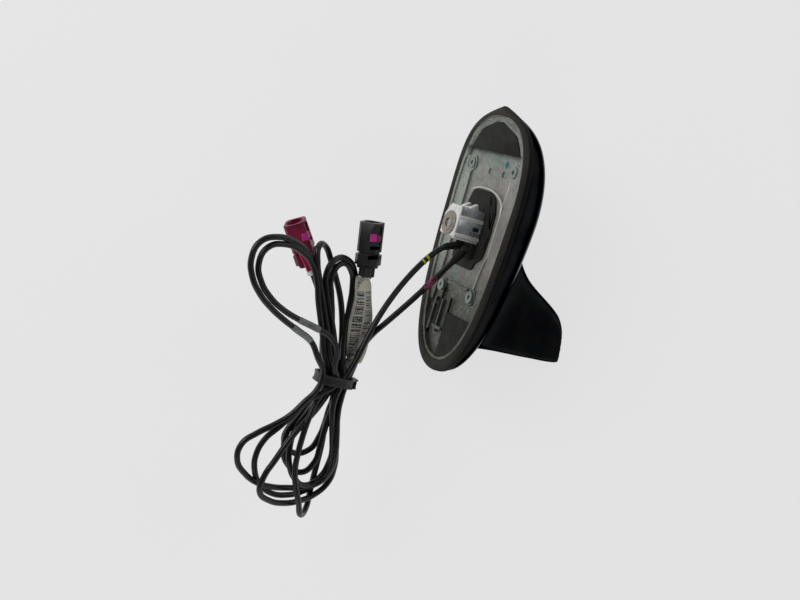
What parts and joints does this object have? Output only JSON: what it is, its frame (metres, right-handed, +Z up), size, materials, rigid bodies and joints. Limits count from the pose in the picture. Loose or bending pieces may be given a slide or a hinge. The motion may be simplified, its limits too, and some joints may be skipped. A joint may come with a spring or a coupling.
{
  "type": "roof antenna",
  "caption": "Car roof antenna: a low shell with an upright fin on a rubber-rimmed cast base, a toothed roof clamp, and two coax leads tied in a hank, each with a connector.",
  "frame": {"origin": "where the mounting post's axis crosses the roof's surface, which is the underside of the gasket", "axes": "+X to the antenna's nose, the front of the car; +Y to the left; +Z up, away from the roof"},
  "size_m": [0.2075, 0.0678, 0.1675],
  "materials": {
    "cover_black": "gloss painted shell",
    "gasket_rubber": "matt moulded rubber",
    "cast_base": "worn die casting",
    "pad_rubber": "matt",
    "screw_steel": "zinc plated",
    "claw_steel": "bright plated sheet",
    "bolt_steel": "dull plated",
    "board_green": "solder mask",
    "can_tin": "tinned sheet",
    "chip_black": "moulded",
    "blade_brass": "stamped sheet",
    "holder_white": "moulded",
    "cord_black": "satin sheath",
    "band_yellow": "printed mark",
    "band_magenta": "worn printed mark",
    "tie_black": "satin nylon",
    "label_paper": "worn paper",
    "plug_black": "satin moulding",
    "lock_magenta": "satin moulding",
    "contact_brass": "plated",
    "ferrule_tin": "crimped",
    "plug_bordeaux": "satin moulding",
    "lock_red": "satin moulding"
  },
  "bodies": {
    "root": {"cover": "cover_black", "gasket": "gasket_rubber", "base_plate": "cast_base", "nose_pad": "pad_rubber", "post_pad": "pad_rubber", "tail_pad": "pad_rubber", "cable_grommet": "pad_rubber", "cover_screws": "screw_steel", "claw": "claw_steel", "clamp_bolt": "bolt_steel", "circuit_board": "board_green", "board_screws": "screw_steel", "shield_can": "can_tin", "board_parts": "chip_black", "radiator_blade": "blade_brass", "blade_holder": "holder_white", "contact_spring": "blade_brass", "inner_leads": "cord_black", "lead_yellow": "cord_black", "lead_magenta": "cord_black", "yellow_bands": "band_yellow", "magenta_band": "band_magenta", "hank_front": "cord_black", "hank_rear": "cord_black", "cable_tie": "tie_black", "black_tail": "cord_black", "red_tail": "cord_black", "paper_label": "label_paper", "black_housing": "plug_black", "black_lock": "lock_magenta", "black_contact": "contact_brass", "black_ferrule": "ferrule_tin", "red_housing": "plug_bordeaux", "red_lock": "lock_red", "red_contact": "contact_brass", "red_ferrule": "ferrule_tin"}
  },
  "joints": []
}
